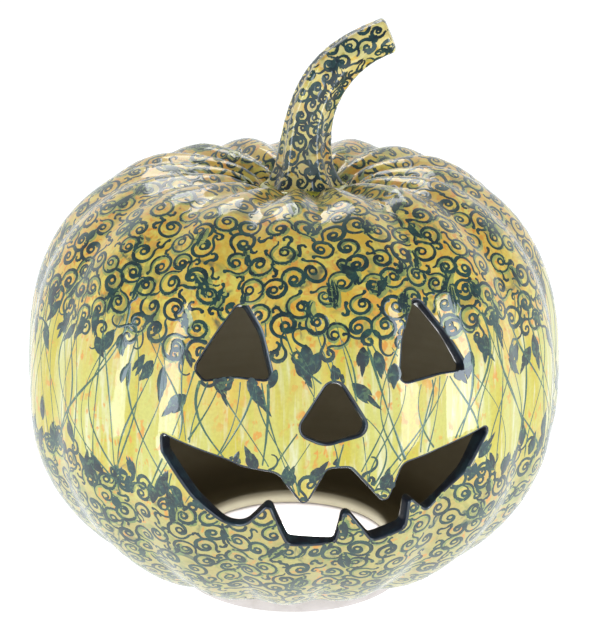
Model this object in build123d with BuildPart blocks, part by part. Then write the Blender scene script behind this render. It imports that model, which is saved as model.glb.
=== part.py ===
# Ceramic pumpkin figure: a ribbed, hollow, glazed stoneware cover with a carved face.
# The body is thrown hollow and open underneath. It stands on a bare foot ring, and a
# curved stem is luted on top through a low collar of clay.
# Frame: origin at the centre of the foot, +Z up, the face looks along -Y.

import os
from math import cos, hypot, pi, radians, sin

from build123d import *

os.makedirs("parts", exist_ok=True)

# Driving dimensions, in millimetres and degrees
body_radius = 135.0        # over the rib crests, at the widest level
waist_height = 96.0        # the widest level, above the table
crown_rise = 127.0         # from the waist to the top of the upper curve
belly_drop = 105.0         # from the waist to the bottom of the lower curve
crown_power = 2.8          # how square the shoulders are
belly_power = 1.9          # how full the belly is
wall = 7.0                 # of the shell, half way between crest and groove

rib_count = 16
rib_turn = 1.2             # the groove nearest the nose stands this far round from -Y
rib_groove = 3.0           # groove depth on the body
rib_power = 0.9            # 1 rounds each rib like a half wave, less makes it fuller
crown_groove = 5.0         # groove depth on the crown

foot_height = 12.5
foot_radius = 60.0         # outside, on the table
foot_top_radius = 63.0     # outside, under the body
base_hole_radius = 51.0
foot_edge = 1.5            # rounding of the foot's outer edge

dimple_radius = 23.0       # flat seat for the collar
dimple_height = 200.5
crown_radius = 86.0        # the crown turns in towards the stem inside this radius
collar_height = 4.5
collar_radius = 21.5
collar_top_radius = 20.2

stem_offset = 5.0          # the stem and its dimple stand this far off the body's axis

stem_ridges = 6
stem_ridge_depth = 0.06    # of the stem's radius
stem_turn = -8.5           # the stem curves towards +X, turned this far towards -Y

face_plane = 135.0         # the face is drawn on a flat plane this far in front of the axis
cut_inside = 60.0          # each cutter runs from this plane
cut_outside = 165.0        # to this one, always away from the centre of the body


def body_radius_at(height):
    rise = height - waist_height
    if rise >= 0:
        return body_radius * (1 - (rise / crown_rise) ** crown_power) ** (1 / crown_power)
    return body_radius * (1 - (-rise / belly_drop) ** belly_power) ** (1 / belly_power)


# The crest line of one rib, from the foot seat over the shoulder into the dimple, as
# (radius, height, groove depth). The flanks follow the body's two curves.
belly_levels = [20.0, 30.0, 45.0, 65.0, 85.0]
flank_levels = [105.0, 125.0, 145.0, 165.0, 180.0, 192.0, 201.0]
under_line = [(66.0, foot_height, 0.0), (78.0, 14.0, 1.5)]
crown_line = [
    (crown_radius, 209.0, 4.0),
    (72.0, 213.8, 4.6),
    (58.0, 214.5, crown_groove),
    (45.0, 213.3, crown_groove),
    (34.5, 210.8, 4.6),
    (28.0, 207.2, 3.2),
    (24.5, 203.2, 1.2),
    (dimple_radius, dimple_height, 0.0),
]
crest_line = (
    under_line
    + [(body_radius_at(level), level, rib_groove) for level in belly_levels + flank_levels]
    + crown_line
)


def inward(index):
    """Unit normal of the crest line at a station, pointing into the body."""
    before = crest_line[max(index - 1, 0)]
    after = crest_line[min(index + 1, len(crest_line) - 1)]
    step_r, step_z = after[0] - before[0], after[1] - before[1]
    length = hypot(step_r, step_z)
    return -step_z / length, step_r / length


def off_axis(index):
    """How far the ring through a station is shifted towards the stem."""
    crest_r, crest_z, groove = crest_line[index]
    if crest_z < waist_height or crest_r > crown_radius:
        return 0.0
    return stem_offset * (crown_radius - crest_r) / (crown_radius - dimple_radius)


points_per_rib = 6
stem_lean_way = radians(stem_turn)


def rib_ring(index):
    """One closed ring of the ribbed outside, through a station of the crest line."""
    crest_r, crest_z, groove = crest_line[index]
    in_r, in_z = inward(index)
    shift_x = off_axis(index) * cos(stem_lean_way)
    shift_y = off_axis(index) * sin(stem_lean_way)
    points = []
    for step in range(rib_count * points_per_rib):
        turn = 2 * pi * step / (rib_count * points_per_rib)
        hollow = groove * (1 - abs(sin(rib_count * turn / 2)) ** rib_power)
        r = crest_r + in_r * hollow
        z = crest_z + in_z * hollow
        angle = turn + radians(rib_turn - 90)
        points.append(Vector(r * cos(angle) + shift_x, r * sin(angle) + shift_y, z))
    return Wire([Edge.make_spline(points, periodic=True)])


# Face outlines on the face plane, as (x, height), drawn as the carver cuts them: each
# cut runs straight towards the middle of the body, so its walls are square to the shell.
left_eye = [(-49.0, 201.5), (-36.5, 178.5), (-29.5, 151.5), (-51.0, 155.5), (-66.0, 154.0), (-72.0, 161.0)]
left_eye_round = [4.0, 30.0, 3.0, 40.0, 4.0, 4.0]
right_eye = [(47.0, 199.5), (62.0, 176.5), (74.0, 154.0), (56.0, 152.5), (30.0, 147.0), (34.0, 171.0)]
right_eye_round = [4.0, 30.0, 3.0, 40.0, 3.5, 30.0]
nose = [(-0.5, 153.5), (15.5, 124.5), (-5.0, 119.0), (-18.5, 126.0)]
nose_round = [5.0, 5.0, 12.0, 5.0]
# the upper lip from left to right with its two teeth, then the lower lip back with its three
mouth = [
    (-92.5, 124.5), (-66.0, 115.5), (-45.0, 108.3), (-27.0, 106.2), (-14.6, 88.5), (-4.0, 106.8),
    (6.5, 107.0), (23.5, 87.5), (31.5, 107.5), (60.0, 112.0), (91.0, 121.5),
    (73.0, 98.0), (47.5, 80.0), (35.0, 91.0), (34.8, 73.0), (19.0, 67.8), (4.0, 88.5),
    (0.5, 66.0), (-22.0, 68.3), (-31.0, 92.0), (-49.0, 71.5), (-72.0, 91.5), (-92.0, 115.0),
]
mouth_round = [
    1.5, 25.0, 25.0, 8.0, 3.0, 3.0,
    3.0, 3.0, 6.0, 30.0, 2.0,
    20.0, 3.0, 2.0, 2.5, 2.5, 2.5,
    1.5, 3.0, 2.5, 12.0, 25.0, 2.5,
]


def drawn_at(outline, rounding, distance):
    """The face of an outline, drawn on the plane at this distance in front of the axis."""
    scale = distance / face_plane
    plane = Plane(origin=(0, -distance, waist_height), x_dir=(1, 0, 0), z_dir=(0, -1, 0))
    corners = [(x * scale, (height - waist_height) * scale) for x, height in outline]
    with BuildSketch(plane) as drawing:
        with BuildLine():
            FilletPolyline(*corners, radius=[r * scale for r in rounding], close=True)
        make_face()
    return drawing.sketch


def cut_out(outline, rounding):
    """Cut an outline of the face through the shell in progress."""
    loft([drawn_at(outline, rounding, cut_inside), drawn_at(outline, rounding, cut_outside)],
         ruled=True, mode=Mode.SUBTRACT)


# Shell: ribbed outside, smooth inside, open underneath, with the face cut through
def inside_point(index):
    crest_r, crest_z, groove = crest_line[index]
    in_r, in_z = inward(index)
    depth = wall + groove / 2
    return (crest_r + in_r * depth, crest_z + in_z * depth)


floor_level = foot_height + wall
ceiling_level = dimple_height - wall
inside_line = [inside_point(index) for index in range(2, len(crest_line) - 4)]

with BuildPart() as shell:
    add(Solid.make_loft([rib_ring(index) for index in range(len(crest_line))]))
    with BuildSketch(Plane.XZ):
        with BuildLine():
            Spline((base_hole_radius, floor_level), *inside_line, (dimple_radius, ceiling_level),
                   tangents=[(1, 0), (-1, 0)])
            Polyline((dimple_radius, ceiling_level), (0, ceiling_level), (0, foot_height - 1),
                     (base_hole_radius, foot_height - 1), (base_hole_radius, floor_level))
        make_face()
    revolve(axis=Axis.Z, mode=Mode.SUBTRACT)
    cut_out(left_eye, left_eye_round)
    cut_out(right_eye, right_eye_round)
    cut_out(nose, nose_round)
    cut_out(mouth, mouth_round)

shell.part.label = "shell"
export_step(shell.part, "parts/shell.step")

# Foot ring: a bare ring under the shell, with the same hole
with BuildPart() as foot_ring:
    with BuildSketch(Plane.XZ):
        with BuildLine():
            Polyline((base_hole_radius, 0), (foot_radius, 0), (foot_top_radius, foot_height),
                     (base_hole_radius, foot_height), close=True)
        make_face()
    revolve(axis=Axis.Z)
    fillet(foot_ring.edges().group_by(Axis.Z)[0].sort_by(SortBy.RADIUS)[-1], foot_edge)

foot_ring.part.label = "foot_ring"
export_step(foot_ring.part, "parts/foot_ring.step")

# Stem: stations up the curved middle line as (lean, height, radius, tilt from upright)
stem_base_height = dimple_height + collar_height
stem_line = [
    (stem_offset, stem_base_height, 19.6, 0.0),
    (stem_offset, stem_base_height + 2.0, 18.0, 0.0),
    (stem_offset, stem_base_height + 7.0, 15.2, 1.0),
    (5.2, stem_base_height + 16.0, 13.2, 3.0),
    (6.3, 232.5, 11.9, 9.0),
    (8.9, 243.5, 11.2, 19.0),
    (13.4, 253.8, 10.7, 30.0),
    (20.4, 263.3, 10.0, 42.0),
    (29.0, 270.6, 9.1, 53.0),
    (37.8, 275.7, 8.4, 61.0),
    (44.0, 278.4, 8.0, 68.0),
    (45.9, 279.2, 6.6, 70.0),
]
stem_points = 4 * stem_ridges


def stem_section(lean, height, radius, tilt):
    """One ridged cross-section of the stem, square to its middle line."""
    tilt = radians(tilt)
    along = (sin(tilt) * cos(stem_lean_way), sin(tilt) * sin(stem_lean_way), cos(tilt))
    across = (-sin(stem_lean_way), cos(stem_lean_way), 0)
    centre = (lean * cos(stem_lean_way), lean * sin(stem_lean_way), height)
    rim = []
    for step in range(stem_points):
        angle = 2 * pi * step / stem_points
        reach = radius * (1 - stem_ridge_depth + stem_ridge_depth * cos(stem_ridges * angle))
        rim.append((reach * cos(angle), reach * sin(angle)))
    with BuildSketch(Plane(origin=centre, x_dir=across, z_dir=along)) as section:
        with BuildLine():
            Spline(*rim, periodic=True)
        make_face()
    return section.sketch


with BuildPart() as stem:
    loft([stem_section(*station) for station in stem_line])

stem.part.label = "stem"
export_step(stem.part, "parts/stem.step")

# Collar: the low coil of clay between the dimple's flat and the stem
collar_centre = (stem_offset * cos(stem_lean_way), stem_offset * sin(stem_lean_way), dimple_height)
with BuildPart() as stem_collar:
    with BuildSketch(Plane(origin=collar_centre)):
        Circle(collar_radius)
    with BuildSketch(Plane(origin=collar_centre).offset(collar_height)):
        Circle(collar_top_radius)
    loft()

stem_collar.part.label = "stem_collar"
export_step(stem_collar.part, "parts/stem_collar.step")

for piece in (shell.part, foot_ring.part, stem.part, stem_collar.part):
    box = piece.bounding_box()
    print(piece.label, "valid", piece.is_valid, "volume", round(piece.volume), "box", box.min, box.max)
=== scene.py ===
import random
from math import atan2, cos, exp, pi, radians, sin, tan

import bpy
import numpy as np
from mathutils import Matrix, Vector
from mathutils.bvhtree import BVHTree
from mathutils.geometry import delaunay_2d_cdt


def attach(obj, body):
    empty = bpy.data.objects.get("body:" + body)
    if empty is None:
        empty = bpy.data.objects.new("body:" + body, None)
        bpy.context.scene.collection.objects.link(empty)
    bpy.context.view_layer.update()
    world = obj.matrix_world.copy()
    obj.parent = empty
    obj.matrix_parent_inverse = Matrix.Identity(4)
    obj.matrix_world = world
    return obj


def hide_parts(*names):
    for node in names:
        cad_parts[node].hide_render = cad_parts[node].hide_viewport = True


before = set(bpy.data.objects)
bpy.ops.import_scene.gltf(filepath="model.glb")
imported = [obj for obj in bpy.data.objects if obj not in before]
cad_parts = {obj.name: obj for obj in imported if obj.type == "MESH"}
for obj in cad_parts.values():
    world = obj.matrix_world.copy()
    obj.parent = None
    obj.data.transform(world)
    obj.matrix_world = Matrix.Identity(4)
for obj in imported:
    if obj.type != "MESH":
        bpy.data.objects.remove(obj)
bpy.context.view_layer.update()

# Lengths below are in millimetres and are turned into metres when a mesh is made.
# A "turn" is an angle round the body from the face (-Y) towards +X, in radians.
mm = 0.001
print("frame loaded:", sorted(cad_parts))

# Body: the same ribbed form as the CAD shell, with the small unevenness of a thrown pot
body = {
    "radius": 135.0, "waist": 96.0, "crownRise": 127.0, "bellyDrop": 105.0,
    "crownPower": 2.8, "bellyPower": 1.9, "wall": 7.0,
    "ribs": 16, "ribTurn": radians(1.2), "groove": 3.0,
    "grooveRound": 0.2,      # 0 is a sharp crease, 1 a plain wave
    "crownRound": 0.55,      # the same, on top
    "crownFlatten": 0.2,     # share of the groove depth that the glaze and sponge took away on top
    "shoulder": (196.0, 210.0),    # between these heights the grooves turn into those on top
    "ribWander": 0.012,      # how far the grooves stray from even spacing, in radians
    "grooveUneven": 0.14,    # how much deeper and shallower they get round the body
    "dent": 0.35,            # the slight dents that hands leave in soft clay
    "footRadius": 66.0, "footHeight": 12.5, "holeRadius": 51.0,
    "stemOffset": 5.0, "stemTurn": radians(-8.5),
    "columns": 400, "rowStep": 2.1, "innerRowStep": 4.4,
}
leanX, leanY = cos(body["stemTurn"]), sin(body["stemTurn"])
crownRadius, dimpleRadius, dimpleHeight = 86.0, 23.0, 200.5
underStations = [(body["footRadius"], body["footHeight"], 0.0), (78.0, 14.0, 1.5)]
flankLevels = [20, 30, 45, 65, 85, 105, 125, 145, 165, 180, 192, 201]
crownStations = [
    (crownRadius, 209.0, 4.0), (72.0, 213.8, 4.6), (58.0, 214.5, 5.0), (45.0, 213.3, 5.0),
    (34.5, 210.8, 4.6), (28.0, 207.2, 3.2), (24.5, 203.2, 1.2), (dimpleRadius, dimpleHeight, 0.0),
]


def flankRadius(height):
    rise = height - body["waist"]
    span, power = body["crownRise"], body["crownPower"]
    if rise < 0:
        rise, span, power = -rise, body["bellyDrop"], body["bellyPower"]
    return body["radius"] * (1 - (rise / span) ** power) ** (1 / power)


def smoothLine(points, step):
    # a natural cubic through the points, walked at even steps; gives (run, columns...)
    p = np.array(points, float)
    count = len(p)
    t = np.concatenate([[0], np.cumsum(np.hypot(*np.diff(p[:, :2], axis=0).T))])
    gap = np.diff(t)
    weights = np.eye(count)
    pull = np.zeros_like(p)
    for i in range(1, count - 1):
        weights[i, i - 1:i + 2] = gap[i - 1], 2 * (gap[i - 1] + gap[i]), gap[i]
        pull[i] = 6 * ((p[i + 1] - p[i]) / gap[i] - (p[i] - p[i - 1]) / gap[i - 1])
    bend = np.linalg.solve(weights, pull)
    fine = np.linspace(0, t[-1], 40 * count)
    k = np.clip(np.searchsorted(t, fine, side="right") - 1, 0, count - 2)
    before, after, width = (t[k + 1] - fine)[:, None], (fine - t[k])[:, None], gap[k][:, None]
    line = ((bend[k] * before ** 3 + bend[k + 1] * after ** 3) / (6 * width)
            + (p[k] / width - bend[k] * width / 6) * before
            + (p[k + 1] / width - bend[k + 1] * width / 6) * after)
    run = np.concatenate([[0], np.cumsum(np.hypot(*np.diff(line[:, :2], axis=0).T))])
    even = np.linspace(0, run[-1], int(run[-1] / step) + 1)
    return even, np.stack([np.interp(even, run, line[:, c]) for c in range(p.shape[1])], 1)


flankStations = [(flankRadius(h), float(h), body["groove"]) for h in flankLevels]
crestStations = underStations + flankStations + crownStations
crestRun, crest = smoothLine(crestStations, 0.5)
slope = np.gradient(crest[:, :2], axis=0)
slope /= np.hypot(slope[:, 0], slope[:, 1])[:, None]
inward = np.stack([-slope[:, 1], slope[:, 0]], 1)
crestShift = np.where(crest[:, 1] > body["waist"],
                      body["stemOffset"] * (crownRadius - crest[:, 0]) / (crownRadius - dimpleRadius), 0)
crestShift = np.clip(crestShift, 0, None)

insideLine = [(body["holeRadius"], body["footHeight"] + body["wall"])]
for station in crestStations[2:-4]:
    near = int(np.argmin(np.hypot(*(crest[:, :2] - station[:2]).T)))
    depth = body["wall"] + crest[near, 2] / 2
    insideLine.append(tuple(crest[near, :2] + inward[near] * depth))
insideLine.append((dimpleRadius, dimpleHeight - body["wall"]))
insideRun, inside = smoothLine(insideLine, 0.5)


def ribLobe(turn, soft):
    # 1 on a rib's crest, 0 at the bottom of a groove
    wander = body["ribWander"] * (np.sin(3 * turn + 1.0) + 0.5 * np.sin(5 * turn + 2.4))
    wave = np.sin(body["ribs"] / 2 * (turn - body["ribTurn"] + wander))
    return (np.sqrt(wave ** 2 + soft ** 2) - soft) / (np.sqrt(1 + soft ** 2) - soft)


def skinPoint(turn, run):
    r, z, groove, inR, inZ, shift = (
        np.interp(run, crestRun, column)
        for column in (crest[:, 0], crest[:, 1], crest[:, 2], inward[:, 0], inward[:, 1], crestShift))
    low, high = body["shoulder"]
    near = np.clip((z - low) / (high - low), 0, 1)
    soft = body["grooveRound"] + (body["crownRound"] - body["grooveRound"]) * near
    hollow = groove * (1 - body["crownFlatten"] * near) * (1 - ribLobe(turn, soft))
    hollow = hollow * (1 + body["grooveUneven"] * np.sin(2 * turn + 0.7))
    dent = body["dent"] * np.sin(3 * turn + run / 31) * np.sin(run / 47 + 1.0)
    hollow = hollow + dent * np.clip(groove / body["groove"], 0, 1)
    r, z = r + inR * hollow, z + inZ * hollow
    return np.stack([r * np.sin(turn) + shift * leanX, -r * np.cos(turn) + shift * leanY, z], -1)


def insidePoint(turn, run):
    r, z = np.interp(run, insideRun, inside[:, 0]), np.interp(run, insideRun, inside[:, 1])
    return np.stack([r * np.sin(turn), -r * np.cos(turn), z], -1)


def skinNormal(turn, run):
    across = skinPoint(turn + 0.004, run) - skinPoint(turn - 0.004, run)
    along = skinPoint(turn, run + 0.4) - skinPoint(turn, run - 0.4)
    normal = np.cross(across, along)
    return normal / np.linalg.norm(normal, axis=-1, keepdims=True)


def runAtHeight(height):
    flank = crest[:, 0] > 60
    return float(np.interp(height, crest[flank, 1], crestRun[flank]))


# Face: outlines on a flat plane in front of the axis, as (x, height) with a rounding for
# each corner; the knife always points at the middle of the body
facePlane = 135.0
face = {
    "leftEye": ([(-49, 201.5), (-36.5, 178.5), (-29.5, 151.5), (-51, 155.5), (-66, 154), (-72, 161)],
                [4, 30, 3, 40, 4, 4]),
    "rightEye": ([(47, 199.5), (62, 176.5), (74, 154), (56, 152.5), (30, 147), (34, 171)],
                 [4, 30, 3, 40, 3.5, 30]),
    "nose": ([(-0.5, 153.5), (15.5, 124.5), (-5, 119), (-18.5, 126)], [5, 5, 12, 5]),
    "mouth": ([(-92.5, 124.5), (-66, 115.5), (-45, 108.3), (-27, 106.2), (-14.6, 88.5), (-4, 106.8),
               (6.5, 107), (23.5, 87.5), (31.5, 107.5), (60, 112), (91, 121.5),
               (73, 98), (47.5, 80), (35, 91), (34.8, 73), (19, 67.8), (4, 88.5),
               (0.5, 66), (-22, 68.3), (-31, 92), (-49, 71.5), (-72, 91.5), (-92, 115)],
              [1.5, 25, 25, 8, 3, 3, 3, 3, 6, 30, 2, 20, 3, 2, 2.5, 2.5, 2.5, 1.5, 3, 2.5, 12, 25, 2.5]),
}
# cut edge, from the skin to the inside: (offset into the clay, depth below the skin);
# a depth below zero is counted back from the inner skin
cutRings = [(1.25, 0.0), (0.75, 0.1), (0.3, 0.4), (0.06, 0.95), (0.0, 2.2),
            (0.0, -2.2), (0.1, -1.0), (0.5, -0.35), (1.3, 0.0)]
knifeLean = {"leftEye": -2.3}    # mm that a cut has drifted sideways at the inside


def roundedOutline(corners, roundings, step=1.15):
    pts = [Vector(c) for c in corners]
    line = []
    for i, corner in enumerate(pts):
        toLast = (pts[i - 1] - corner)
        toNext = (pts[(i + 1) % len(pts)] - corner)
        half = toLast.angle(toNext) / 2
        reach = min(roundings[i] / tan(half), 0.49 * toLast.length, 0.49 * toNext.length)
        radius = reach * tan(half)
        a, b = corner + toLast.normalized() * reach, corner + toNext.normalized() * reach
        inwards = (toLast.normalized() + toNext.normalized()).normalized()
        middle = corner + inwards * (radius / sin(half))
        arc = (a - middle).angle_signed(b - middle)
        count = max(2, int(abs(arc) * radius / (step * 0.7)) + 1)
        for k in range(count + 1):
            spoke = a - middle
            angle = -arc * k / count
            line.append(middle + Matrix.Rotation(angle, 2) @ spoke)
    # even spacing along the whole loop
    loop = np.array([tuple(p) for p in line] + [tuple(line[0])])
    run = np.concatenate([[0], np.cumsum(np.hypot(*np.diff(loop, axis=0).T))])
    even = np.linspace(0, run[-1], int(run[-1] / step) + 1)[:-1]
    return np.stack([np.interp(even, run, loop[:, 0]), np.interp(even, run, loop[:, 1])], 1)


def offsetOutline(loop, offset):
    ahead, behind = np.roll(loop, -1, 0), np.roll(loop, 1, 0)
    tangent = ahead - behind
    tangent /= np.hypot(tangent[:, 0], tangent[:, 1])[:, None]
    area = np.sum(loop[:, 0] * ahead[:, 1] - ahead[:, 0] * loop[:, 1])
    outward = np.stack([tangent[:, 1], -tangent[:, 0]], 1) * (1 if area > 0 else -1)
    return loop + outward * offset * 1.08


def alongKnife(loop, lean):
    # where the knife through each point of a face outline meets the skin and the inside
    turn = np.arctan2(loop[:, 0], facePlane)
    rise = (loop[:, 1] - body["waist"]) / np.hypot(loop[:, 0], facePlane)
    flank = (crest[:, 1] > 30) & (crest[:, 0] > 75)
    outerRun = []
    for t, e in zip(turn, rise):
        p = skinPoint(np.full(flank.sum(), t), crestRun[flank])
        outerRun.append(np.interp(e, (p[:, 2] - body["waist"]) / np.hypot(p[:, 0], p[:, 1]), crestRun[flank]))
    outerRun = np.array(outerRun)
    flank = (inside[:, 1] > 30) & (inside[:, 0] > 60)
    innerRun = np.interp(rise, (inside[flank, 1] - body["waist"]) / inside[flank, 0], insideRun[flank])
    innerTurn = turn + lean / np.interp(innerRun, insideRun, inside[:, 0])
    return {"turn": turn, "run": outerRun, "innerTurn": innerTurn, "innerRun": innerRun,
            "outer": skinPoint(turn, outerRun), "inner": insidePoint(innerTurn, innerRun)}


def insideAny(points, loops):
    found = np.zeros(len(points), bool)
    for loop in loops:
        a, b = loop, np.roll(loop, -1, 0)
        x, y = points[:, :1], points[:, 1:2]
        crosses = (a[None, :, 1] > y) != (b[None, :, 1] > y)
        with np.errstate(divide="ignore", invalid="ignore"):
            slant = (b[None, :, 0] - a[None, :, 0]) / (b[None, :, 1] - a[None, :, 1])
            at = a[None, :, 0] + (y - a[None, :, 1]) * slant
        found |= (np.sum(crosses & (x < at), 1) % 2).astype(bool)
    return found


def makeMesh(name, points, faces, materials=(), slots=None, smooth=True):
    mesh = bpy.data.meshes.new(name)
    mesh.from_pydata([tuple(p) for p in np.asarray(points, float) * mm], [], faces)
    for material in materials:
        mesh.materials.append(material)
    if slots is not None:
        mesh.polygons.foreach_set("material_index", np.array(slots, np.int32))
    mesh.polygons.foreach_set("use_smooth", np.full(len(mesh.polygons), smooth))
    mesh.update()
    piece = bpy.data.objects.new(name, mesh)
    bpy.context.scene.collection.objects.link(piece)
    return piece


# The crown's drawing hangs down in points and the skirt's rises in points; both borders
# are sums of waves round the body, as (waves, size in mm, phase)
borders = {
    "crown": (161.0, [(5, 4.5, 0.6), (9, 4.0, 2.0), (17, 2.0, 4.1)]),
    "skirt": (91.0, [(4, 2.5, 1.4), (8, 3.0, 3.3), (15, 2.0, 0.2)]),
}


def borderHeight(name, turn):
    level, waves = borders[name]
    return level + sum(size * sin(count * turn + phase) for count, size, phase in waves)


# Paint and glaze, all worked from object coordinates so that the pieces match
def srgb(*parts):
    shares = [part / 255 for part in parts]
    return tuple(s / 12.92 if s <= 0.04 else ((s + 0.055) / 1.055) ** 2.4 for s in shares) + (1.0,)


class Paint:
    # a short way to write a node tree: each call adds one node and gives its output
    def __init__(self, tree):
        self.tree = tree
        self.at = 0

    def node(self, kind, **settings):
        made = self.tree.nodes.new(kind)
        self.at += 1
        made.location = (180 * (self.at % 12), -220 * (self.at // 12))
        for key, value in settings.items():
            setattr(made, key, value)
        return made

    def feed(self, socket, value):
        if isinstance(value, bpy.types.NodeSocket):
            self.tree.links.new(value, socket)
        else:
            socket.default_value = value

    def dial(self, node, values):
        for name, value in values.items():
            self.feed(node.inputs[name], value)

    def math(self, operation, a, b=0.0, clamp=False):
        made = self.node("ShaderNodeMath", operation=operation, use_clamp=clamp)
        self.feed(made.inputs[0], a)
        self.feed(made.inputs[1], b)
        return made.outputs[0]

    def both(self, a, b):
        return self.math("MULTIPLY", a, b)

    def noise(self, vector, size, detail, rough, warp=0.0):
        # size is the width of one patch, in the units of the vector
        made = self.node("ShaderNodeTexNoise")
        self.dial(made, {"Vector": vector, "Scale": 1 / size, "Detail": detail, "Roughness": rough,
                         "Distortion": warp})
        return made.outputs["Fac"]

    def rise(self, value, low, high):
        made = self.node("ShaderNodeMapRange", interpolation_type="SMOOTHSTEP")
        self.dial(made, {"Value": value, "From Min": low, "From Max": high})
        return made.outputs["Result"]

    def mix(self, factor, a, b, blend="MIX"):
        made = self.node("ShaderNodeMix", data_type="RGBA", blend_type=blend)
        self.dial(made, {"Factor": factor, "A": a, "B": b})
        return made.outputs["Result"]

    def patches(self, vector, noise, edges, under, over, share=1.0):
        # one colour in patches over another; the noise passes from one to the other between the edges
        return self.mix(self.both(self.rise(self.noise(vector, *noise), *edges), share), under, over)

    def vector(self, *parts):
        made = self.node("ShaderNodeCombineXYZ")
        for socket, value in zip(made.inputs, parts):
            self.feed(socket, value)
        return made.outputs[0]

    def parts(self, vector):
        split = self.node("ShaderNodeSeparateXYZ")
        self.feed(split.inputs[0], vector)
        return list(split.outputs)

    def where(self):
        return self.node("ShaderNodeTexCoord").outputs["Object"]

    def fromAxis(self, x, y):
        return self.math("SQRT", self.math("ADD", self.both(x, x), self.both(y, y)))

    def streaks(self, x, y, z):
        # a coordinate that changes slowly up the body, for marks that run upright
        out = self.math("MAXIMUM", self.fromAxis(x, y), 0.02)
        scaled = (self.math("DIVIDE", x, out), self.math("DIVIDE", y, out), z)
        return self.vector(*[self.both(part, 0.13) for part in scaled])

    def border(self, name, x, y):
        # the height of a border all round the body, in metres
        turn = self.math("ARCTAN2", x, self.both(y, -1.0))
        level, waves = borders[name]
        height = level * mm
        for count, size, phase in waves:
            wave = self.math("SINE", self.math("ADD", self.both(turn, float(count)), phase))
            height = self.math("ADD", height, self.both(wave, size * mm))
        return height


glaze = {
    "coatRoughness": 0.055, "coatIor": 1.6, "paintRoughness": 0.42,
    "ripple": 0.35,                       # how far the glaze surface wanders, mm
    "rippleNoise": (0.016, 1.5, 0.45, 0.3),
}


def newMaterial(name):
    material = bpy.data.materials.new(name)
    material.use_nodes = True
    tree = material.node_tree
    tree.nodes.clear()
    paint = Paint(tree)
    shader = paint.node("ShaderNodeBsdfPrincipled")
    output = paint.node("ShaderNodeOutputMaterial")
    tree.links.new(shader.outputs[0], output.inputs[0])
    return material, paint, shader


def relief(paint, height, depth, strength=1.0):
    # a fine surface relief, its depth in millimetres
    bump = paint.node("ShaderNodeBump")
    paint.dial(bump, {"Strength": strength, "Distance": depth * mm, "Height": height})
    return bump.outputs[0]


def glazed(made, where, colour):
    # the painted colour under a glossy clear coat
    material, paint, shader = made
    surface = relief(paint, paint.noise(where, *glaze["rippleNoise"]), glaze["ripple"])
    paint.dial(shader, {"Base Color": colour, "Roughness": glaze["paintRoughness"], "Specular IOR Level": 0.2,
                        "Coat Weight": 1.0, "Coat Roughness": glaze["coatRoughness"],
                        "Coat IOR": glaze["coatIor"], "Normal": surface, "Coat Normal": surface})
    return material


# each noise is (width of a patch in metres, detail, roughness, warp)
ground = {
    "lemon": srgb(203, 197, 99), "yellow": srgb(199, 181, 43), "cream": srgb(225, 222, 182),
    "straw": srgb(226, 208, 96), "gold": srgb(218, 176, 60), "orange": srgb(224, 154, 66),
    # the third colour on the next line is painted shade for the bottom of the body
    "lowShade": srgb(174, 168, 108), "dab": srgb(222, 144, 46), "fringe": srgb(228, 184, 84),
    "wash": srgb(140, 148, 82), "teal": srgb(60, 88, 76),
    "stemPale": srgb(226, 216, 150), "stemDark": srgb(26, 58, 60),
    "wideStreak": (0.011, 2.0, 0.5, 0.2), "thinStreak": (0.0045, 3.0, 0.6, 0.2),
    "patch": (0.012, 3.0, 0.6, 0.8), "fleck": (0.0065, 3.0, 0.65, 0.6), "brushGrain": (0.0014, 2.0, 0.6),
    "dabNoise": (0.0026, 1.5, 0.5, 0.3), "cluster": (0.014, 2.0, 0.5), "tuft": (0.010, 2.0, 0.5, 0.4),
    "washNoise": (0.015, 3.0, 0.55, 1.2), "tealNoise": (0.020, 3.0, 0.6, 1.6),
    "pool": (0.0085, 2.0, 0.55, 1.0), "borderNoise": (0.012, 2.0, 0.5, 0.5),
    "borderWander": 0.0384,    # how far the borders stray up and down, in metres
}


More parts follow.
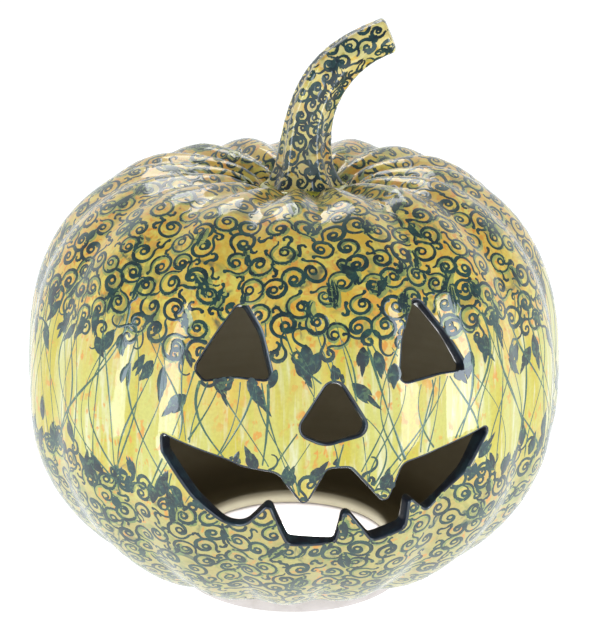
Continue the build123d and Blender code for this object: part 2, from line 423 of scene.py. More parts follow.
def groundColour(paint, where, dense):
    # streaky lemon round the middle, mottled gold above and below
    x, y, z = paint.parts(where)
    streak = paint.streaks(x, y, z)
    band = paint.patches(streak, ground["wideStreak"], (0.42, 0.66), ground["lemon"], ground["yellow"])
    band = paint.patches(streak, ground["thinStreak"], (0.5, 0.72), band, ground["cream"], 0.85)
    colour = paint.patches(where, ground["patch"], (0.36, 0.62), ground["straw"], ground["gold"])
    colour = paint.patches(where, ground["fleck"], (0.52, 0.66), colour, ground["orange"], 0.85)
    # painted shade: the ground turns darker and greyer towards the bottom of the body
    colour = paint.mix(paint.both(paint.rise(z, 0.112, 0.070), 0.8), colour, ground["lowShade"])
    dabs = paint.vector(x, y, paint.both(z, 0.6))    # taller than wide
    dabs = paint.rise(paint.noise(dabs, *ground["dabNoise"]), 0.55, 0.63)
    clusters = paint.rise(paint.noise(where, *ground["cluster"]), 0.47, 0.62)
    zone = 1.0
    if not dense:
        wander = paint.math("SUBTRACT", paint.noise(streak, *ground["borderNoise"]), 0.5)
        level = paint.math("ADD", z, paint.both(wander, ground["borderWander"]))
        overCrown = paint.math("SUBTRACT", level, paint.border("crown", x, y))
        underSkirt = paint.math("SUBTRACT", paint.border("skirt", x, y), level)
        zone = paint.math("ADD", paint.rise(overCrown, -0.014, 0.006), paint.rise(underSkirt, -0.016, 0.004),
                          clamp=True)
        colour = paint.mix(zone, band, colour)
        tufts = paint.rise(paint.noise(streak, *ground["tuft"]), 0.44, 0.60)
        fringe = paint.both(paint.rise(overCrown, -0.034, -0.006), tufts)
        colour = paint.mix(paint.both(fringe, 0.5), colour, ground["fringe"])
        clusters = paint.math("MAXIMUM", clusters, fringe)
    # rust-orange dabs, thickest under the crown's border
    colour = paint.mix(paint.both(paint.both(dabs, clusters), 0.85), colour, ground["dab"])
    # green washes left by a wet brush
    colour = paint.patches(where, ground["washNoise"], (0.53, 0.68), colour, ground["wash"],
                           paint.both(zone, 0.7))
    colour = paint.patches(where, ground["tealNoise"], (0.60, 0.70), colour, ground["teal"],
                           paint.both(zone, 0.85))
    if dense:
        colour = paint.patches(where, ground["pool"], (0.36, 0.48), colour, ground["stemPale"], 0.6)
        colour = paint.patches(where, ground["pool"], (0.585, 0.61), colour, ground["stemDark"])
    grain = paint.patches(where, ground["brushGrain"], (0.25, 0.75), (0.25, 0.22, 0.12, 1), (1, 1, 0.9, 1))
    return paint.mix(0.10, colour, grain, "OVERLAY")


def makeGround(name, dense=False):
    made = newMaterial(name)
    where = made[1].where()
    return glazed(made, where, groundColour(made[1], where, dense))


ink = {
    "navy": srgb(16, 42, 48), "teal": srgb(28, 66, 64), "green": srgb(66, 102, 74),
    "vineDark": srgb(52, 92, 74), "vinePale": srgb(112, 144, 96), "stemNavy": srgb(12, 36, 46),
    "leafNavy": srgb(8, 30, 40), "leafTeal": srgb(24, 64, 66), "leafGreen": srgb(92, 128, 84),
    "bleedDark": srgb(112, 134, 82), "bleedPale": srgb(172, 174, 92),
    "edgeNavy": srgb(22, 30, 46), "edgeTeal": srgb(40, 66, 76),
    "collarYellow": srgb(196, 190, 46), "collarGreen": srgb(120, 132, 40),
    "poolNoise": (0.010, 3.0, 0.6, 0.8), "dryNoise": (0.0032, 3.0, 0.65, 0.5),
    "edgeNoise": (0.008, 3.0, 0.6, 0.5), "collarNoise": (0.006, 3.0, 0.6, 0.6),
}


def makeInk(name, deep, middle, dry, dryShare):
    # brushed colour that thins out to green where the brush ran dry
    made = newMaterial(name)
    paint, where = made[1], made[1].where()
    colour = paint.patches(where, ink["poolNoise"], (0.38, 0.60), ink[deep], ink[middle])
    colour = paint.patches(where, ink["dryNoise"], (0.50, 0.72), colour, ink[dry], dryShare)
    return glazed(made, where, colour)


def makePatchyGlaze(name, noise, edges, under, over):
    made = newMaterial(name)
    where = made[1].where()
    return glazed(made, where, made[1].patches(where, ink[noise], edges, ink[under], ink[over]))


clay = {
    # the last inside colour is painted shade for the low inside corner
    "insideDark": srgb(148, 139, 117), "insideLight": srgb(162, 153, 131), "insideCornerShade": srgb(126, 117, 97),
    "footLight": srgb(220, 211, 210), "footDark": srgb(208, 199, 197), "speck": srgb(176, 170, 156),
    "rings": (0.006, 2.0, 0.5), "ringDepth": 0.3, "insideCloud": (0.03, 4.0, 0.6, 0.4),
    "footCloud": (0.012, 3.0, 0.6), "specks": (0.0012, 2.0, 0.7), "speckDepth": 0.15,
}


def makeInsideGlazeAndShade():
    material, paint, shader = newMaterial("insideGlazeAndShade")
    where = paint.where()
    x, y, z = paint.parts(where)
    rings = paint.noise(paint.vector(0.0, 0.0, z), *clay["rings"])
    cloud = paint.noise(where, *clay["insideCloud"])
    fade = paint.math("ADD", paint.both(rings, 0.35), paint.both(cloud, 0.65))
    wash = paint.mix(paint.rise(fade, 0.3, 0.7), clay["insideDark"], clay["insideLight"])
    # painted shade: darker round the low inside corner, stopping short of the lip of the base opening, which
    # stays pale as if lit
    corner = paint.both(paint.rise(z, 0.030, 0.021), paint.rise(paint.fromAxis(x, y), 0.052, 0.066))
    paint.dial(shader, {"Base Color": paint.mix(corner, wash, clay["insideCornerShade"]), "Roughness": 0.62,
                        "Specular IOR Level": 0.25, "Normal": relief(paint, rings, clay["ringDepth"], 0.6)})
    return material


def makeFootClay():
    material, paint, shader = newMaterial("bareClay")
    where = paint.where()
    specks = paint.noise(where, *clay["specks"])
    colour = paint.patches(where, clay["footCloud"], (0.35, 0.65), clay["footLight"], clay["footDark"])
    colour = paint.mix(paint.both(paint.rise(specks, 0.66, 0.74), 0.5), colour, clay["speck"])
    paint.dial(shader, {"Base Color": colour, "Roughness": 0.85,
                        "Normal": relief(paint, specks, clay["speckDepth"], 0.5)})
    return material


skinPaint = makeGround("paintedGround")
stemPaint = makeGround("stemGround", dense=True)
scrollInk = makeInk("scrollInk", "navy", "teal", "green", 0.55)
stemInk = makeInk("stemInk", "stemNavy", "leafTeal", "green", 0.5)
leafInk = makeInk("leafInk", "leafNavy", "leafTeal", "leafGreen", 0.7)
bleedInk = makeInk("bleedInk", "bleedDark", "bleedPale", "bleedPale", 0.6)
vineInk = makeInk("vineInk", "vineDark", "vineDark", "vinePale", 0.8)
cutGlaze = makePatchyGlaze("cutEdgeGlaze", "edgeNoise", (0.4, 0.75), "edgeNavy", "edgeTeal")
collarGlaze = makePatchyGlaze("collarGlaze", "collarNoise", (0.40, 0.62), "collarYellow", "collarGreen")
print("paints mixed")


# Shell: skin, cut edges and inside as one closed mesh. The front is triangulated round
# the face cuts, everything else is a plain grid.
turns = -pi + 2 * pi * np.arange(body["columns"]) / body["columns"]


def gridFaces(ids, skip=lambda i, j: False):
    rows, columns = ids.shape
    faces = []
    for j in range(rows - 1):
        for i in range(columns):
            k = (i + 1) % columns
            if not skip(i, j):
                faces.append((ids[j, i], ids[j, k], ids[j + 1, k], ids[j + 1, i]))
    return faces


def addPoints(store, points):
    start = len(store["points"])
    store["points"] += np.asarray(points).tolist()
    return list(range(start, len(store["points"])))


def faceCuts():
    cuts = []
    for name, (corners, roundings) in face.items():
        loop = roundedOutline(corners, roundings)
        rings = []
        for offset, depth in cutRings:
            ring = alongKnife(offsetOutline(loop, offset), knifeLean.get(name, 0.0))
            through = ring["inner"] - ring["outer"]
            thick = np.linalg.norm(through, axis=1, keepdims=True)
            ring["points"] = ring["outer"] + through / thick * (depth if depth >= 0 else thick + depth)
            rings.append(ring)
        rings[-1]["points"] = rings[-1]["inner"]
        cuts.append(rings)
    return cuts


flatScale = 130.0    # turns the cuts' angles into millimetres, so that a patch isn't squeezed
patchMargin = 6.0


def layerWithHoles(store, runs, pointAt, loops, loopPoints, flip):
    # one skin of the shell: a grid, with a patch round the loops that fits them exactly
    columns = body["columns"]
    grid = pointAt(turns[None, :] + 0 * runs[:, None], runs[:, None] + 0 * turns[None, :]).reshape(-1, 3)
    ids = np.array(addPoints(store, grid)).reshape(len(runs), columns)
    every = np.vstack(loops)
    least, most = every.min(0) - patchMargin, every.max(0) + patchMargin
    left, right = np.searchsorted(turns * flatScale, [least[0], most[0]])
    low, high = np.searchsorted(runs, [least[1], most[1]])
    faces = gridFaces(ids, lambda i, j: left <= i < right and low <= j < high)
    flat = np.stack([np.tile(turns * flatScale, len(runs)), np.repeat(runs, columns)], 1)
    patch = ids[low:high + 1, left:right + 1]
    rim = list(patch[0]) + list(patch[1:, -1]) + list(patch[-1, ::-1][1:]) + list(patch[::-1, 0][1:-1])
    inner = patch[1:-1, 1:-1].ravel()
    spots = flat[inner - ids[0, 0]]
    keep = ~insideAny(spots, loops)
    for spot in every:
        keep &= np.hypot(*(spots - spot).T) > 0.45 * (runs[1] - runs[0])
    names = rim + list(inner[keep])
    verts = [tuple(flat[i - ids[0, 0]]) for i in names]
    edges = bridgeEdges(0, len(rim))
    loopIds = []
    for loop, points in zip(loops, loopPoints):
        edges += bridgeEdges(len(verts), len(loop))
        verts += [tuple(p) for p in loop]
        loopIds.append(addPoints(store, points))
        names += loopIds[-1]
    newVerts, newEdges, newFaces, origin = delaunay_2d_cdt([Vector(v) for v in verts], edges, [], 0, 1e-5)[:4]
    middles = np.array([np.mean([tuple(newVerts[v]) for v in f], axis=0) for f in newFaces])
    for f, gone in zip(newFaces, insideAny(middles, loops)):
        if not gone:
            faces.append(tuple(names[origin[v][0]] for v in f))
    store["faces"] += [tuple(reversed(f)) for f in faces] if flip else faces
    return ids, loopIds


def bridgeEdges(start, count):
    return [(start + k, start + (k + 1) % count) for k in range(count)]


def bridge(first, second):
    count = len(first)
    return [(first[k], first[(k + 1) % count], second[(k + 1) % count], second[k]) for k in range(count)]


def buildShell():
    cuts = faceCuts()
    store = {"points": [], "faces": []}
    rows = np.linspace(crestRun[0], crestRun[-1], int(crestRun[-1] / body["rowStep"]))
    loops = [np.stack([rings[0]["turn"] * flatScale, rings[0]["run"]], 1) for rings in cuts]
    points = [rings[0]["points"] for rings in cuts]
    skinIds, skinLoops = layerWithHoles(store, rows, skinPoint, loops, points, False)
    skinFaces = len(store["faces"])
    rows = np.linspace(insideRun[0], insideRun[-1], int(insideRun[-1] / body["innerRowStep"]))
    loops = [np.stack([rings[-1]["innerTurn"] * flatScale, rings[-1]["innerRun"]], 1) for rings in cuts]
    points = [rings[-1]["points"] for rings in cuts]
    wallIds, wallLoops = layerWithHoles(store, rows, insidePoint, loops, points, True)
    # flat under the dimple outside and inside, and the foot seat with its hole
    ceiling = dimpleHeight - body["wall"]
    for ids, height, flip in ((skinIds[-1], dimpleHeight, False), (wallIds[-1], ceiling, True)):
        centre = addPoints(store, [[0.0, 0.0, height]])[0]
        for k in range(len(ids)):
            fan = (ids[k], ids[(k + 1) % len(ids)], centre)
            store["faces"].append(tuple(reversed(fan)) if flip else fan)
    r, z = body["holeRadius"], body["footHeight"]
    seat = addPoints(store, np.stack([r * np.sin(turns), -r * np.cos(turns), 0 * turns + z], 1))
    store["faces"] += bridge(seat, skinIds[0]) + bridge(wallIds[0], seat)
    insideFaces = len(store["faces"])
    # the cut edges
    for rings, outerIds, innerIds in zip(cuts, skinLoops, wallLoops):
        chain = [outerIds] + [addPoints(store, ring["points"]) for ring in rings[1:-1]] + [innerIds]
        x, z = rings[0]["points"][:, 0], rings[0]["points"][:, 2]
        area = np.sum(x * np.roll(z, -1) - np.roll(x, -1) * z)
        for a, b in zip(chain, chain[1:]):
            strip = bridge(a, b)
            store["faces"] += [tuple(reversed(f)) for f in strip] if area < 0 else strip
    slots = [0] * skinFaces + [2] * (insideFaces - skinFaces) + [1] * (len(store["faces"]) - insideFaces)
    return store, slots, skinFaces


shellStore, shellSlots, skinFaceCount = buildShell()
shell = makeMesh("shell_body", shellStore["points"], shellStore["faces"],
                 (skinPaint, cutGlaze, makeInsideGlazeAndShade()), shellSlots)
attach(shell, "root")
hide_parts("shell")
shellSkin = BVHTree.FromPolygons(shellStore["points"], shellStore["faces"][:skinFaceCount])
print("shell built:", len(shell.data.polygons), "faces")


# Stem: ridged, flared at its foot, curving towards +X
stemForm = {
    # lean towards the tip, height, radius, tilt in degrees
    "stations": [(5.0, 205.0, 20.4, 0), (5.0, 206.6, 18.9, 0), (5.0, 210.0, 16.6, 0),
                 (5.0, 215.0, 14.6, 1), (5.2, 221.0, 13.3, 3), (6.3, 232.5, 12.0, 9),
                 (8.9, 243.5, 11.3, 19), (13.4, 253.8, 10.9, 30), (20.4, 263.3, 10.3, 42),
                 (29.0, 270.6, 9.5, 53), (37.8, 275.7, 9.0, 61), (44.2, 278.5, 8.9, 67)],
    "nose": 3.3, "noseSteps": 8, "noseFlat": 0.62,    # the rounding of the tip, and how flat it is
    "ridges": 6, "ridgeDepth": 0.085, "twist": 0.5, "around": 96, "step": 0.9,
}


def buildStem():
    run, line = smoothLine(stemForm["stations"], stemForm["step"])
    # a rounded tip with a slight hollow: the last rings shrink and step forward
    lean, height, radius, tilt = line[-1]
    nose, steps = stemForm["nose"], stemForm["noseSteps"]
    flat = stemForm["noseFlat"] * nose
    ends = [(flat * sin(pi / 2 * k / steps), radius - nose * (1 - cos(pi / 2 * k / steps)))
            for k in range(1, steps + 1)]
    ends += [(flat + 0.1, 0.6 * (radius - nose)), (flat + 0.15, 0.25 * (radius - nose))]
    out, up = sin(radians(tilt)), cos(radians(tilt))
    rings = [tuple(row) for row in line]
    rings += [(lean + out * ahead, height + up * ahead, size, tilt) for ahead, size in ends]
    count = stemForm["around"]
    angles = 2 * pi * np.arange(count) / count
    side = np.array([-leanY, leanX, 0.0])
    points = []
    for k, (lean, height, radius, tilt) in enumerate(rings):
        t = radians(tilt)
        front = np.cross(side, [sin(t) * leanX, sin(t) * leanY, cos(t)])
        share = min(k * stemForm["step"] / run[-1], 1)
        # the ridges are strongest at the flare and fade towards the tip
        ridge = 0.9 * stemForm["ridgeDepth"] * (1.0 + 0.35 * exp(-share * 9)) * (1 - 0.35 * share)
        wave = np.cos(stemForm["ridges"] * (angles + stemForm["twist"] * share) + 0.5 * np.sin(2 * angles))
        reach = radius * (1 + ridge * (np.sign(wave) * np.abs(wave) ** 0.8 - 1))
        centre = np.array([lean * leanX, lean * leanY, height])
        points += list(centre + np.outer(reach * np.cos(angles), front)
                       + np.outer(reach * np.sin(angles), side))
    ids = np.arange(len(points)).reshape(len(rings), count)
    faces = gridFaces(ids)
    tip, base = len(points), len(points) + 1
    points += [np.mean(points[-count:], axis=0), np.mean(points[:count], axis=0)]
    faces += [(ids[-1, k], ids[-1, (k + 1) % count], tip) for k in range(count)]
    faces += [(ids[0, (k + 1) % count], ids[0, k], base) for k in range(count)]
    return np.array(points), [tuple(int(v) for v in f) for f in faces], rings


stemPoints, stemFaces, stemRings = buildStem()
stem = makeMesh("stem_body", stemPoints, stemFaces, (stemPaint,))
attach(stem, "root")
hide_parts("stem")
stemSkin = BVHTree.FromPolygons(stemPoints.tolist(), stemFaces)
print("stem built")


# Collar: a low coil of clay with an uneven, pressed edge
collarForm = {
    "profile": [(14.0, 200.3), (21.0, 200.3), (22.6, 200.9), (22.6, 202.6),
                (22.0, 204.0), (21.0, 204.9), (19.0, 205.4), (14.0, 205.4)],
    "around": 180, "dents": 0.35,
}


def latheMesh(profile, around, centre, dent=0.0):
    line = smoothLine(profile, 0.6)[1]
    angles = 2 * pi * np.arange(around) / around
    points = []
    for r, z in line:
        pressed = dent * (np.sin(7 * angles + 0.8) + 0.6 * np.sin(12 * angles + z)) * (r > profile[0][0] + 1)
        x, y = centre[0] + (r + pressed) * np.cos(angles), centre[1] + (r + pressed) * np.sin(angles)
        points += list(np.stack([x, y, 0 * angles + z], 1))
    ids = np.arange(len(points)).reshape(len(line), around)
    faces = gridFaces(ids) + bridge(ids[-1], ids[0])
    return points, [tuple(int(v) for v in f) for f in faces]


collarCentre = (body["stemOffset"] * leanX, body["stemOffset"] * leanY)
collarPoints, collarFaces = latheMesh(collarForm["profile"], collarForm["around"], collarCentre,
                                      collarForm["dents"])
collar = makeMesh("collar_coil", collarPoints, collarFaces, (collarGlaze,))
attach(collar, "root")
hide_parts("stem_collar")
collarSkin = BVHTree.FromPolygons([Vector(p) for p in collarPoints], collarFaces)

# Foot ring: bare clay with softened edges
footProfile = [(51.2, 1.2), (52.2, 0.25), (54.0, 0.0), (58.0, 0.0), (59.6, 0.35), (60.5, 1.5), (61.3, 5.0),
               (62.2, 9.0), (63.0, 12.3), (60.0, 12.45), (53.0, 12.45), (51.1, 12.3), (51.05, 8.0)]
footPoints, footFaces = latheMesh(footProfile, 240, (0.0, 0.0))
foot = makeMesh("foot_clay", footPoints, [tuple(reversed(f)) for f in footFaces][::-1], (makeFootClay(),))
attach(foot, "root")
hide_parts("foot_ring")
print("collar and foot built")


# Brushwork: every stroke is a thin closed sliver of paint laid on the skin
brush = {"lift": 0.085, "sink": 0.012, "liftSpread": 0.03, "reach": 9.0, "bleedLift": 0.04, "step": 1.05}


class Strokes:
    def __init__(self, skin, seed, lift=brush["lift"]):
        self.skin = skin
        self.height = lift
        self.points = []
        self.faces = []
        self.rng = random.Random(seed)

    def lay(self, path, normals, widths):
        # snaps a path to the skin and breaks it where there is no skin below
        run = []
        for p, n, w in zip(path, normals, widths):
            p, n = Vector(p), Vector(n)
            hit, normal = self.skin.ray_cast(p + n * brush["reach"], -n, 2 * brush["reach"])[:2]
            if hit is None:
                self.ribbon(run)
                run = []
            else:
                run.append((hit, normal, w))
        self.ribbon(run)

    def ribbon(self, run):
        if len(run) < 3:
            return
        lift = self.height + self.rng.random() * brush["liftSpread"]
        start = len(self.points)
        # a rounded nose at each end
        for end, beside in ((0, 1), (-1, -2)):
            spot, normal, width = run[end]
            out = (spot - run[beside][0]).normalized() * (0.32 * width)
            nose = (spot + out, normal, 0.5 * width)
            run = [nose] + run if end == 0 else run + [nose]
        for k, (spot, normal, width) in enumerate(run):
            ahead = run[min(k + 1, len(run) - 1)][0] - run[max(k - 1, 0)][0]
            side = normal.cross(ahead).normalized() * (width / 2)
            under = spot - normal * brush["sink"]
            self.points += [under + side, spot + normal * lift, under - side]
        for k in range(len(run) - 1):
            a, b = start + 3 * k, start + 3 * k + 3
            self.faces += [(a, a + 1, b + 1, b), (a + 1, a + 2, b + 2, b + 1), (a + 2, a, b, b + 2)]
        last = start + 3 * (len(run) - 1)
        self.faces += [(start + 2, start + 1, start), (last, last + 1, last + 2)]

    def piece(self, name, material, slot):
        made = makeMesh(name, [tuple(p) for p in self.points], self.faces, (material,))
        made.data.set_sharp_from_angle(angle=radians(50))
        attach(made, "root")
        print(name, len(self.faces), "faces")


def scrollPath(radius, turns, hand, start, width, tail, ring=0.3, bulb=False):
    # a small ring with a light middle, an arc that swings wide on one side of it, and a tail
    pts, angle = [], 0.0
    total, opens = 2 * pi * turns, 2 * pi * min(0.98, 0.45 * turns)
    small = radius * ring
    lean = start + hand * total * 0.8
    while angle < total:
        share = max(0.0, (angle - opens) / (total - opens))
        swing = sin(share * pi / 2) ** 0.9
        r = small * (0.92 + 0.12 * min(1, angle / 6.3)) + (radius - small) * swing
        off = 0.2 * (r - small)
        at = start + hand * angle
        w = width * (0.9 + 0.42 * sin(pi * min(1, share * 1.1)))
        pts.append((off * cos(lean) + r * cos(at), off * sin(lean) + r * sin(at), w))
        angle += brush["step"] / max(r, 1.2)
    x, y, w1 = pts[-1]
    heading = atan2(y - pts[-2][1], x - pts[-2][0])
    steps = max(3, int(tail / brush["step"]))
    for k in range(1, steps + 1):
        share = k / steps
        heading -= hand * (0.03 + 0.42 * share)
        x, y = x + brush["step"] * cos(heading), y + brush["step"] * sin(heading)
        if bulb:
            w = width * (1.0 - 0.25 * sin(pi * share)) * (1 + 0.35 * share)
        else:
            w = w1 + (0.5 * width - w1) * share
        pts.append((x, y, w))
    return pts


def onBody(strokes, turn, run, flatPath, squash=1.0, spin=0.0):
    # lays a flat drawing (x to the right, y up the body) at a spot on the body
    centre = skinPoint(turn, run)
    normal = skinNormal(turn, run)
    up = skinPoint(turn, run + 0.5) - centre
    up -= normal * np.dot(up, normal)
    up /= np.linalg.norm(up)
    right = np.cross(up, normal)
    c, s = cos(spin), sin(spin)
    path = [centre + right * (x * c - y * squash * s) + up * (x * s + y * squash * c) for x, y, w in flatPath]
    strokes.lay(path, [normal] * len(path), [w for x, y, w in flatPath])


def scatter(rng, lowRun, highRun, gap, tries, border, taken=(), takenGap=0.0):
    # spots on the body no nearer to each other than the gap
    spots, places = [], np.zeros((0, 3))
    for attempt in range(tries):
        turn, run = rng.uniform(-pi, pi), rng.uniform(lowRun, highRun)
        if rng.random() * body["radius"] > np.interp(run, crestRun, crest[:, 0]):
            continue
        p = skinPoint(turn, run)
        past = p[2] - borderHeight(border, turn)
        if (past < 0) == (border == "crown") or crowded(p, places, gap) or crowded(p, taken, takenGap):
            continue
        spots.append((turn, run))
        places = np.vstack([places, p])
    return spots, places


def crowded(p, places, gap):
    return len(places) > 0 and np.min(np.sum((places - p) ** 2, 1)) < gap ** 2


scrolls = {
    "radius": 5.6, "radiusSpread": 0.7, "turns": 2.15, "width": 1.65, "gap": 9.5, "tail": 4.2,
    "fillGap": 7.1, "fillOwnGap": 6.8, "blots": 0.24, "bleed": 0.6, "blotWidth": 3.7,
    "tries": 26000, "fillTries": 14000,
}


def blotDabs(rng, length):
    # two or three wet dabs that have run together
    dabs, steps = [], 7
    for k in range(rng.choice((2, 3))):
        side = rng.uniform(-1.6, 1.6)
        reach = length * rng.uniform(0.7, 1.1)
        bend = rng.uniform(-1.5, 1.5)
        dabs.append([(side + bend * sin(pi * j / steps), reach * (j / steps - 0.5),
                      scrolls["blotWidth"] * sin(pi * (0.12 + 0.80 * j / steps)) ** 0.7)
                     for j in range(steps + 1)])
    return dabs


def paintScrolls(name, seed, lowRun, highRun, border):
    strokes, bleed = Strokes(shellSkin, seed), Strokes(shellSkin, seed, brush["bleedLift"])
    rng = strokes.rng
    spots, places = scatter(rng, lowRun, highRun, scrolls["gap"], scrolls["tries"], border)
    for turn, run in spots:
        radius = scrolls["radius"] + rng.uniform(-1, 1) * scrolls["radiusSpread"]
        path = scrollPath(radius, scrolls["turns"] + rng.uniform(-0.25, 0.15), rng.choice((-1, 1)),
                          rng.uniform(0, 2 * pi), scrolls["width"] * rng.uniform(0.85, 1.2),
                          scrolls["tail"] * rng.uniform(0.5, 1.2), bulb=rng.random() < 0.6)
        squash, spin = rng.uniform(0.84, 0.97), rng.uniform(-0.5, 0.5)
        onBody(strokes, turn, run, path, squash, spin)
        if rng.random() < scrolls["bleed"]:
            # green water that ran out of the ink, a little below the stroke
            first = rng.randrange(8, 20)
            wet = [(x + 0.25, y - 0.4, w + 0.8) for x, y, w in path[first:-2:2]]
            onBody(bleed, turn, run, wet, squash, spin)
        if rng.random() < scrolls["blots"]:
            at, up = turn + rng.choice((-1, 1)) * 5.5 / body["radius"], run + rng.uniform(-5, 5)
            spin = rng.uniform(-0.7, 0.7)
            for dab in blotDabs(rng, rng.uniform(8, 13)):
                onBody(strokes, at, up, dab, 1.0, spin)
                onBody(bleed, at, up, [(x + 0.5, y, w + 1.2) for x, y, w in dab], 1.0, spin)
    # hooks and commas between the scrolls
    spots = scatter(rng, lowRun, highRun, scrolls["fillOwnGap"], scrolls["fillTries"], border,
                    places, scrolls["fillGap"])[0]
    for turn, run in spots:
        path = scrollPath(rng.uniform(1.7, 2.3), rng.uniform(0.5, 0.8), rng.choice((-1, 1)),
                          rng.uniform(0, 2 * pi), rng.uniform(1.4, 1.9), rng.uniform(2.5, 5.0), 0.6, True)
        onBody(strokes, turn, run, path)
    bleed.piece(name + "_bleed", bleedInk, "painted_glaze")
    strokes.piece(name, scrollInk, "painted_glaze")


paintScrolls("scrolls_crown", 11, runAtHeight(148), crestRun[-1] - 3.0, "crown")
paintScrolls("scrolls_skirt", 12, crestRun[0] + 12.0, runAtHeight(101), "skirt")

# Leaves: hanging from the crown and standing on the skirt, each a few tapered dabs
leaves = {"count": 124, "length": 15.0, "dabWidth": 3.5, "below": (5.0, -19.0), "above": (-3.0, 12.0)}


def leafDabs(rng, length, width):
    dabs, steps = [], 9
    tips = rng.choice((2, 3, 3, 4))
    for k in range(tips):
        share = k / (tips - 1) * 2 - 1
        reach = length * (1 - 0.35 * abs(share)) * rng.uniform(0.85, 1.05)
        bend = share * rng.uniform(0.9, 1.7)
        dab = []
        for j in range(steps + 1):
            t = j / steps
            belly = sin(pi * min(1, t * 0.92 + 0.08)) ** 0.6
            dab.append((bend * sin(pi * 0.62 * t) * 1.3, -reach * t, max(0.35, width * belly)))
        dabs.append(dab)
    return dabs


def alongBorders(rng, form, stray):
    # places that hang from the crown's border, then places that stand on the skirt's
    for border, reach, way in (("crown", form["below"], 0), ("skirt", form["above"], pi)):
        for k in range(form["count"]):
            turn = 2 * pi * (k + rng.uniform(-stray, stray)) / form["count"]
            yield turn, runAtHeight(borderHeight(border, turn) + rng.uniform(*reach)), way


def paintLeaves():
    strokes = Strokes(shellSkin, 13)
    rng = strokes.rng
    for turn, run, way in alongBorders(rng, leaves, 0.35):
        spin = rng.uniform(-0.8, 0.8) + way
        length = leaves["length"] * rng.uniform(0.7, 1.2)
        for dab in leafDabs(rng, length, leaves["dabWidth"] * rng.uniform(0.8, 1.15)):
            onBody(strokes, turn, run, dab, 1.0, spin)
    strokes.piece("leaves", leafInk, "painted_glaze")


# Curls: open scrolls on a stalk, along the two borders
curls = {"count": 56, "below": (4.0, -10.0), "above": (0.0, 10.0), "radius": 4.2, "width": 1.5,
         "turns": 1.35, "stalk": 11.0}


def paintCurls():
    strokes = Strokes(shellSkin, 14)
    rng = strokes.rng
    for turn, run, way in alongBorders(rng, curls, 0.22):
        hand = rng.choice((-1, 1))
        spin = rng.uniform(-0.5, 0.5) + way
        radius = curls["radius"] * rng.uniform(0.8, 1.2)
        path = scrollPath(radius, curls["turns"], hand, rng.uniform(0, 2 * pi),
                          curls["width"] * rng.uniform(0.9, 1.3), curls["stalk"])
        onBody(strokes, turn, run, path, 1.0, spin)
    strokes.piece("curls", scrollInk, "painted_glaze")


# Vines: long thin lines that cross each other between the crown and the skirt
vines = {"count": 165, "topLevel": 169.0, "bottomLevel": 89.0, "lean": 0.20, "sway": 0.13, "width": 1.05}


def paintVines():
    strokes = Strokes(shellSkin, 15)
    rng = strokes.rng
    for k in range(vines["count"]):
        turn = 2 * pi * (k + rng.uniform(-0.5, 0.5)) / vines["count"]
        top = vines["topLevel"] + rng.uniform(-9, 6)
        bottom = vines["bottomLevel"] + rng.uniform(-6, 8)
        lean = rng.uniform(-1, 1) * vines["lean"]
        sway = rng.uniform(-1, 1) * vines["sway"]
        phase = rng.uniform(0, 2 * pi)
        width = vines["width"] * rng.choice((0.75, 0.9, 1.0, 1.1, 1.45))
        path, normals, widths = [], [], []
        for j in range(41):
            t = j / 40
            at = turn + lean * (t - 0.5) + sway * sin(pi * 1.3 * t + phase)
            run = runAtHeight(bottom + (top - bottom) * t)
            path.append(skinPoint(at, run))
            normals.append(skinNormal(at, run))
            widths.append(width * (0.8 + 0.25 * sin(9 * t + phase)) * (1 if 0 < t < 1 else 0.5))
        strokes.lay(path, normals, widths)
    strokes.piece("vines", vineInk, "painted_glaze")


paintVines()
paintLeaves()
paintCurls()


# Stem brushwork: close-set scrolls and heavy dabs
stemStrokes = {"gap": 5.9, "radius": 4.2, "width": 1.5, "squash": 0.85, "tries": 9000}


def paintStem():
    strokes = Strokes(stemSkin, 16)
    rng = strokes.rng
    around = stemForm["around"]
    usable = len(stemRings) - 6
    places = np.zeros((0, 3))
    for k in range(stemStrokes["tries"]):
        ring, column = rng.randrange(3, usable), rng.randrange(around)
        p = stemPoints[ring * around + column]
        if rng.random() * 15 > stemRings[ring][2]:
            continue
        if crowded(p, places, stemStrokes["gap"]):
            continue
        places = np.vstack([places, p])
        across = (stemPoints[ring * around + (column + 1) % around]
                  - stemPoints[ring * around + column - 1])
        along = stemPoints[(ring + 1) * around + column] - p
        across, along = across / np.linalg.norm(across), along / np.linalg.norm(along)
        normal = np.cross(across, along)
        normal /= np.linalg.norm(normal)
        small = rng.random() < 0.15
        radius = rng.uniform(1.8, 2.6) if small else stemStrokes["radius"] * rng.uniform(0.8, 1.1)
        turns = rng.uniform(0.7, 1.0) if small else rng.uniform(1.75, 2.05)
        path = scrollPath(radius, turns, rng.choice((-1, 1)), rng.uniform(0, 2 * pi),
                          stemStrokes["width"] * rng.uniform(0.9, 1.3), rng.uniform(1.5, 4))
        spots = [p + across * x * stemStrokes["squash"] + along * y for x, y, w in path]
        strokes.lay(spots, [normal] * len(spots), [w for x, y, w in path])
    strokes.piece("stem_scrolls", stemInk, "stem_glaze")


hatching = {"count": 46, "radius": 22.0, "foot": 201.0, "rise": 3.8, "width": (0.9, 1.8),
            "lean": (-0.05, 0.09)}


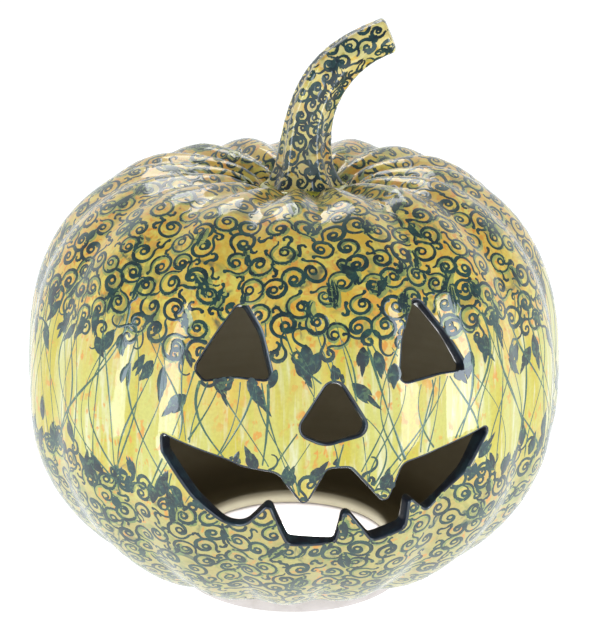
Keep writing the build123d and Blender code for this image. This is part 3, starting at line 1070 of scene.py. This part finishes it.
def paintCollar():
    # slanted hatch marks all round the coil
    strokes = Strokes(collarSkin, 17)
    rng = strokes.rng
    for k in range(hatching["count"]):
        angle = 2 * pi * (k + rng.uniform(-0.3, 0.3)) / hatching["count"]
        lean = rng.uniform(*hatching["lean"])
        width = rng.uniform(*hatching["width"])
        path, normals, widths = [], [], []
        for j in range(8):
            t = j / 7
            x, y = cos(angle + lean * t), sin(angle + lean * t)
            path.append((collarCentre[0] + x * hatching["radius"], collarCentre[1] + y * hatching["radius"],
                         hatching["foot"] + hatching["rise"] * t))
            normals.append(Vector((x, y, 0.15 + 0.5 * t)).normalized())
            widths.append(width * (1.1 - 0.8 * abs(t - 0.6)))
        strokes.lay(path, normals, widths)
    strokes.piece("collar_hatching", scrollInk, "collar_glaze")


paintStem()
paintCollar()


# Room: a pale floor, a white room behind and above, dark towards the camera, and two
# tall soft boxes at the sides that draw upright lights on the ribs
studio = {
    "floorRadius": 4.0, "floor": srgb(150, 152, 152), "floorGlow": 0.97,
    "room": 1.0, "frontSide": 0.26, "frontEdge": (-0.62, -0.2), "frontFoot": (0.22, 0.42),
    "panelFoot": (0.42, 0.01), "panelTop": (0.76, 0.68),
    "panels": ((-46, 1.6, 0.14), (48, 1.7, 0.13)),    # turn from the camera in degrees, power, width
    "panelColour": (0.78, 0.88, 1.0),
    "tableGlow": 3.4, "tableRadius": 50.5,  # the lit sheet seen through the base
    "backPower": 2.8, "backSize": 0.5, "backSpot": (0.0, 0.62, 1.0),
}
view = {"turn": -8.5, "rise": 19.11, "distance": 936.0, "aim": (0.0, 0.0, 110.0), "lens": 103.15,
        "shift": (0.0108, 0.0726), "roll": 0.33}


def aimAt(thing, spot):
    way = Vector(spot) - thing.location
    thing.rotation_euler = way.to_track_quat("-Z", "Y").to_euler()


def makeFloor(name, radius, height, glow):
    segments = 96
    ring = [(radius * cos(2 * pi * k / segments), radius * sin(2 * pi * k / segments), height)
            for k in range(segments)]
    floor = makeMesh(name, ring, [tuple(range(segments))], smooth=False)
    material, paint, shader = newMaterial(name + "_paper")
    paint.dial(shader, {"Base Color": studio["floor"], "Roughness": 0.9, "Specular IOR Level": 0.2,
                        "Emission Color": (0.97, 1.0, 0.99, 1), "Emission Strength": glow})
    floor.data.materials.append(material)


def makeWorld(toCamera):
    world = bpy.data.worlds.new("room")
    world.use_nodes = True
    bpy.context.scene.world = world
    tree = world.node_tree
    tree.nodes.clear()
    paint = Paint(tree)
    direction = paint.node("ShaderNodeTexCoord").outputs["Generated"]
    dot = paint.node("ShaderNodeVectorMath", operation="DOT_PRODUCT")
    paint.feed(dot.inputs[0], direction)
    dot.inputs[1].default_value = tuple(toCamera)
    dark = paint.both(paint.rise(dot.outputs["Value"], *studio["frontEdge"]),
                      paint.rise(paint.parts(direction)[2], *studio["frontFoot"]))
    colour = paint.mix(dark, (0.97, 0.99, 1.0, 1), tuple([studio["frontSide"]] * 3) + (1,))
    back = paint.node("ShaderNodeBackground")
    paint.feed(back.inputs["Color"], colour)
    back.inputs["Strength"].default_value = studio["room"]
    out = paint.node("ShaderNodeOutputWorld")
    tree.links.new(back.outputs[0], out.inputs[0])


def makeLight(name, spot, size, power, target, colour=(1, 1, 1)):
    data = bpy.data.lights.new(name, "AREA")
    data.shape = "RECTANGLE"
    data.size, data.size_y = size
    data.energy = power
    data.color = colour
    light = bpy.data.objects.new(name, data)
    bpy.context.scene.collection.objects.link(light)
    light.location = spot
    aimAt(light, target)
    return light


def onCameraSide(turnFromCamera, distance, height):
    angle = radians(view["turn"] + turnFromCamera)
    return Vector((distance * sin(angle), -distance * cos(angle), height))


def makePanel(name, turn, power, width):
    # a tall narrow light that stands on the floor beside the camera and leans back
    light = makeLight(name, (0, 0, 1), (width, 1), power, (0, 0, 0), studio["panelColour"])
    (nearOut, nearHigh), (farOut, farHigh) = studio["panelFoot"], studio["panelTop"]
    low, high = onCameraSide(turn, nearOut, nearHigh), onCameraSide(turn, farOut, farHigh)
    up = (high - low).normalized()
    side = up.cross(Vector((0, 0, 1))).normalized()
    back = side.cross(up)
    if back.dot(low) < 0:
        side, back = -side, -back
    light.data.size_y = (high - low).length
    facing = Matrix((side, up, back)).transposed().to_4x4()
    light.matrix_world = Matrix.Translation((low + high) / 2) @ facing


def makeCamera():
    rise = radians(view["rise"])
    distance = view["distance"] * mm
    aim = Vector(view["aim"]) * mm
    data = bpy.data.cameras.new("camera")
    data.lens = view["lens"]
    data.sensor_width = 36
    data.shift_x, data.shift_y = view["shift"]
    data.clip_start, data.clip_end = 0.01, 30
    camera = bpy.data.objects.new("camera", data)
    bpy.context.scene.collection.objects.link(camera)
    camera.location = aim + onCameraSide(0, distance * cos(rise), distance * sin(rise))
    aimAt(camera, aim)
    bpy.context.view_layer.update()
    tilted = camera.matrix_world.to_3x3() @ Matrix.Rotation(radians(view["roll"]), 3, "Z")
    camera.rotation_euler = tilted.to_euler()
    bpy.context.scene.camera = camera


makeFloor("floor", studio["floorRadius"] / mm, 0.0, studio["floorGlow"])
makeFloor("lit_sheet", studio["tableRadius"], 0.3, studio["tableGlow"])
makeCamera()
makeWorld(onCameraSide(0, 1.0, 0.0))
for turn, power, width in studio["panels"]:
    makePanel("light_panel", turn, power, width)
makeLight("back_light", studio["backSpot"], (studio["backSize"],) * 2, studio["backPower"], (0, 0, 0.2))
bpy.context.scene.view_settings.view_transform = "Standard"
print("studio set")
